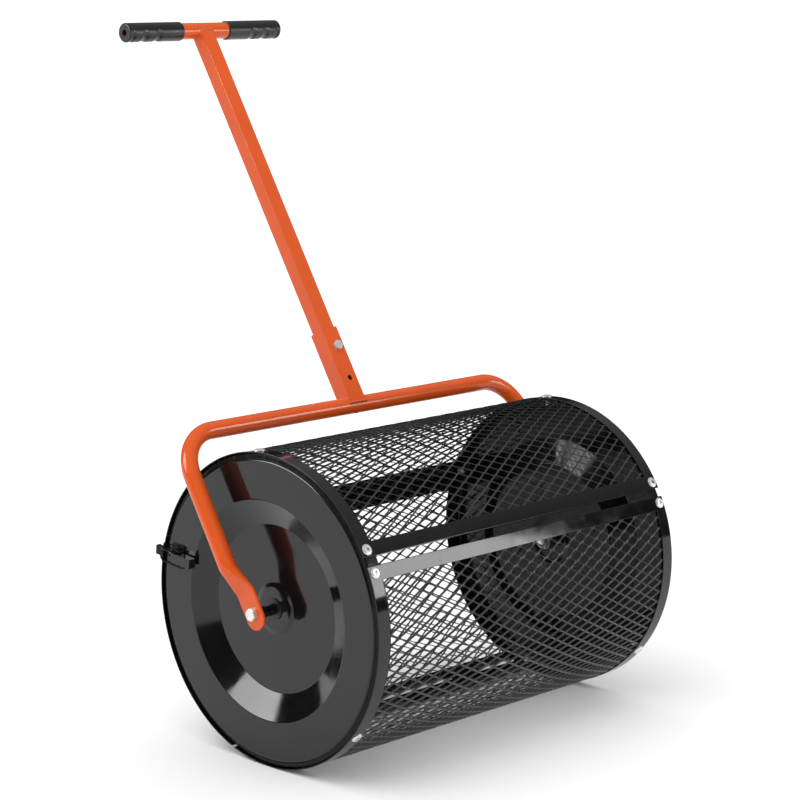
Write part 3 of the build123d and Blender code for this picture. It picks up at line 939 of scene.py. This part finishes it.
def end_stations():
    """From the tab's rounded tip up to the round tube: height, side offset, half sizes, corner."""
    half_width = tab_width / 2
    stations = []
    for k in range(1, 15):
        down = half_width * cos(radians(90 * k / 15))
        half_y = sqrt(half_width**2 - down**2)
        stations.append((-tab_end_down - down, tab_x, tab_thickness / 2, half_y, min(tab_corner, half_y)))
    for up in (-tab_end_down, 0.0, 10.0, 20.0, 26.0):
        stations.append((up, tab_x, tab_thickness / 2, half_width, tab_corner))
    for k in range(0, 17):
        share = k / 16
        up = tab_top - 2 + (arm_bottom + 4 - tab_top) * share
        press = ease(share)
        # the width settles a little before the thickness does
        narrow = ease(share * 1.08)
        stations.append(
            (
                up,
                tab_x + (arm_x - tab_x) * slope(share),
                tab_thickness / 2 + (tube_radius - tab_thickness / 2) * press,
                half_width + (tube_radius - half_width) * narrow,
                tab_corner + (tube_radius - tab_corner) * press,
            )
        )
    return stations


rings = []
for up, x, half_x, half_y, corner in end_stations():
    rings.append(tube_section(handle_point(-x, up), -x_axis, half_x, half_y, corner))
turn_up = crossbar_up - bend_radius
for up in np.linspace(arm_bottom + 14, turn_up - 4, 5):
    rings.append(tube_section(handle_point(-arm_x, up), -x_axis, tube_radius, tube_radius, tube_radius))
for k in range(0, 21):
    angle = radians(90 * k / 20)
    centre = handle_point(-arm_x + bend_radius * (1 - cos(angle)), turn_up + bend_radius * sin(angle))
    across = -x_axis * cos(angle) + up_the_handle * sin(angle)
    # the outside of a bend is drawn out a little and the section goes faintly oval
    oval = 1 - bend_oval * sin(2 * angle)
    rings.append(tube_section(centre, across, tube_radius * oval, tube_radius, tube_radius))
for x in np.linspace(-arm_x + bend_radius + 10, 0, 7):
    rings.append(tube_section(handle_point(x, crossbar_up), up_the_handle, tube_radius, tube_radius, tube_radius))
rings += [[Vector((-p.x, p.y, p.z)) for p in ring] for ring in rings[:-1][::-1]]
bolt_hole = rod(hub_bolt_radius + hub_hole_play, 20, 40)
holes = [moved(bolt_hole, axes(axle + x_axis * side * tab_x, (1, 0, 0))) for side in sides.values()]
holes.append(moved(rod(drain_radius, 6, 24), axes(handle_point(0, crossbar_up - tube_radius), up_the_handle)))
piece("bent_tube", lofted(rings), ["u_frame"], cutters=holes, sharp=32)

# ---------------------------------------------------------------- handle: socket, pole, T-bar
along_handle = axes(handle_point(0, 0), up_the_handle, (1, 0, 0))


def cope(up):
    """Cutter along X that shapes a square tube to sit on a round one."""
    return moved(rod(cope_radius, 40, 96), axes(handle_point(0, up), (1, 0, 0)))


def cross_hole(up):
    """Cutter for a bolt hole from the handle's front to its back."""
    return moved(rod(bolt_radius + bolt_hole_play, 30, 32), axes(handle_point(0, up), handle_front))


socket_inner = socket_side / 2 - socket_wall
piece(
    "square_socket",
    moved(
        tube(
            square_ring(socket_side / 2, socket_side / 2, square_corner),
            square_ring(socket_inner, socket_inner, 0.8),
            [crossbar_up, *np.linspace(crossbar_up + 15, socket_top - 10, 5), socket_top],
        ),
        along_handle,
    ),
    ["pole_socket"],
    cutters=[cope(crossbar_up), cross_hole(socket_bolt), cross_hole(spare_hole)],
    bevel=0.3,
    sharp=40,
)
pole_inner = pole_side / 2 - pole_wall
piece(
    "square_pole",
    moved(
        tube(
            square_ring(pole_side / 2, pole_side / 2, square_corner),
            square_ring(pole_inner, pole_inner, 1.0),
            [pole_bottom, *np.linspace(pole_bottom + 60, tbar_up - 30, 9), tbar_up],
        ),
        along_handle,
    ),
    ["pole"],
    cutters=[cope(tbar_up), cross_hole(socket_bolt)],
    bevel=0.3,
    sharp=40,
)
bore = tube_radius - tube_wall
corners = [(bore, -tbar_half), (tube_radius, -tbar_half), (tube_radius, tbar_half), (bore, tbar_half)]
wall = rounded(corners, 0.3, step=30, closed=True)
piece("cross_handle", moved(revolved(wall, 72), axes(handle_point(0, tbar_up), (1, 0, 0), handle_front)), ["t_bar"])


def saddle(half, up, sign):
    """Line where a square tube meets a round one, just outside both."""
    outline = square_ring(half + 0.3, half + 0.3, square_corner, steps=4, straight=1)
    line = []
    for x, front in densified(outline, 0.8):
        rise = sqrt(max(0.0, cope_radius**2 - front**2))
        line.append(tuple(handle_point(x, up + sign * rise, front)))
    return line


for name, line, bead_radius in (
    ("weld_socket", saddle(socket_side / 2, crossbar_up, 1), 1.7),
    ("weld_pole", saddle(pole_side / 2 - 0.6, tbar_up, -1), 1.5),
):
    piece(name, bead(line, bead_radius), [], slot="orange_powder_coat", body="handle_frame", sharp=70)

at_front = axes(handle_point(0, socket_bolt, socket_side / 2), handle_front, (1, 0, 0.2))
pole_bolt = bolt(hex_flats, hex_head, bolt_radius, socket_side + nut_height + 3.0)
piece("socket_bolt", moved(pole_bolt, at_front), ["pole_bolt"], sharp=24)
at_back = axes(handle_point(0, socket_bolt, -socket_side / 2), -handle_front, (1, 0, 0))
piece("socket_nut", moved(hexagon(hex_flats, nut_height, bolt_radius), at_back), ["pole_nut"], sharp=24)

# ---------------------------------------------------------------- handle: grips
grip_length = grip_end - grip_inner
grip_wall = 4.0
ridges_from = grip_length * 0.40
outline = rounded(
    [(tube_radius, 0), (grip_radius, 0), (grip_radius, grip_length), (grip_hole, grip_length)], [0, 1.6, 2.4, 0.5]
)
foot = [p for p in outline if p[1] < 2.6]
crown = [p for p in outline if p[1] > grip_length - 3.0]
skin = foot + [(grip_radius, h) for h in np.arange(4.0, grip_length - 3.5, 0.8)] + crown
inside = [(grip_hole, grip_length - grip_wall), (tube_radius, grip_length - grip_wall)]
grip_points, grip_faces = revolved(skin + inside, 72)
ridged = []
for x, y, z in grip_points:
    reach = hypot(x, y)
    if reach > tube_radius + 0.5 and ridges_from < z < grip_length - 4:
        # four finger ridges under the outer half: hollows between them, fading round the sides
        share = (z - ridges_from) / (grip_length * 0.55)
        around = max(0.0, cos(atan2(y, x) * 1.05)) ** 1.3
        hollow = 1.8 * max(0.0, sin(pi * share * 4.5)) ** 0.8 * around * min(1.0, (grip_length - 4 - z) / 3)
        x, y = x * (reach - hollow) / reach, y * (reach - hollow) / reach
    ridged.append((x, y, z))
for word, side in sides.items():
    place = axes(handle_point(side * grip_inner, tbar_up), (side, 0, 0), -up_the_handle)
    piece(f"hand_grip_{word}", moved((ridged, grip_faces), place), [f"grip_{word}"], sharp=45)

# ---------------------------------------------------------------- latches, hooks and hinges keep their CAD shape
for name, node in nodes.items():
    if node.hide_render:
        continue
    merge = node.modifiers.new("merge", "WELD")
    merge.merge_threshold = 0.02 * MM
    edge = node.modifiers.new("edges", "BEVEL")
    edge.width = 0.3 * MM
    edge.segments = 2
    edge.limit_method = "ANGLE"
    edge.angle_limit = radians(35)
    edge.harden_normals = True
    node.data.materials.clear()
    dark = node_slot[name] == "black_powder_coat" and not name.startswith("latch_lever")
    node.data.materials.append(finishes["satin_black_and_groove_shade" if dark else node_slot[name]])


# ---------------------------------------------------------------- floor, lights, camera
def stage_material(name, colour, roughness):
    material = bpy.data.materials.new(name)
    material.use_nodes = True
    shader = material.node_tree.nodes["Principled BSDF"]
    shader.inputs["Base Color"].default_value = (*colour, 1)
    shader.inputs["Roughness"].default_value = roughness
    shader.inputs["Specular IOR Level"].default_value = 0.0
    return material


floor_reach = 40.0
floor_corners = [(x * floor_reach, y * floor_reach, 0) for x, y in ((-1, -1), (1, -1), (1, 1), (-1, 1))]
floor_mesh = bpy.data.meshes.new("floor")
floor_mesh.from_pydata(floor_corners, [], [[0, 1, 2, 3]])
floor_mesh.materials.append(stage_material("floor", (0.93, 0.93, 0.93), 0.9))
floor_item = add_object("floor", floor_mesh)

even_light = 0.97
white_behind = 1.1
room_floor, room_ceiling = 0.02, 0.40
room_from, room_to = 0.30, 0.60
world = bpy.data.worlds.new("studio")
bpy.context.scene.world = world
world.use_nodes = True
tree = world.node_tree
make, join = tree.nodes.new, tree.links.new
background = tree.nodes["Background"]
background.inputs["Color"].default_value = (1, 1, 1, 1)
# even white light for the object and floor, and a dark room with a paler ceiling for its reflections
split = make("ShaderNodeSeparateXYZ")
join(make("ShaderNodeTexCoord").outputs["Generated"], split.inputs["Vector"])
room = make("ShaderNodeMapRange")
limits = {"From Min": room_from, "From Max": room_to, "To Min": room_floor, "To Max": room_ceiling}
for socket, number in limits.items():
    room.inputs[socket].default_value = number
join(split.outputs["Z"], room.inputs["Value"])
mixer = make("ShaderNodeMix")
mixer.inputs["A"].default_value = even_light
light_path = make("ShaderNodeLightPath")
join(light_path.outputs["Is Glossy Ray"], mixer.inputs["Factor"])
join(room.outputs["Result"], mixer.inputs["B"])
backdrop = make("ShaderNodeMix")
backdrop.inputs["B"].default_value = white_behind
join(mixer.outputs["Result"], backdrop.inputs["A"])
join(light_path.outputs["Is Camera Ray"], backdrop.inputs["Factor"])
join(backdrop.outputs["Result"], background.inputs["Strength"])


def softbox(name, place, aim, width, height, power):
    """Rectangular lamp seen only in the gloss: the world and the ceiling light the dull surfaces."""
    lamp = bpy.data.lights.new(name, "AREA")
    lamp.shape = "RECTANGLE"
    lamp.size, lamp.size_y = width, height
    lamp.energy = power
    item = add_object(name, lamp)
    item.location = place
    item.rotation_euler = (Vector(aim) - Vector(place)).to_track_quat("-Z", "Y").to_euler()
    item.visible_diffuse = False


softbox("behind_left", (-2.64, 1.85, 1.91), aim=(0, 0, 0.3), width=1.86, height=1.73, power=86)
softbox("front_right", (2.06, -2.65, 1.25), aim=(0, -0.2, 0.3), width=1.13, height=1.1, power=28)
ceiling = bpy.data.lights.new("ceiling", "SUN")
ceiling.energy = 1.05
ceiling.angle = radians(60)
ceiling_item = add_object("ceiling", ceiling)
ceiling_item.rotation_euler = Vector((0.38, -0.04, -0.92)).to_track_quat("-Z", "Y").to_euler()
ceiling_item.visible_glossy = False

camera_down, camera_right = 9.815, 45.66
camera = bpy.data.cameras.new("camera")
camera.lens = 109.06
camera.sensor_width = 36
camera.shift_x = -0.0085
camera.shift_y = -0.0120
view = add_object("camera", camera)
view.location = (-2.4632, -2.3778, 1.0802)
view.rotation_euler = (radians(90 - camera_down), 0, radians(-camera_right))
bpy.context.scene.camera = view
bpy.context.scene.view_settings.view_transform = "Standard"
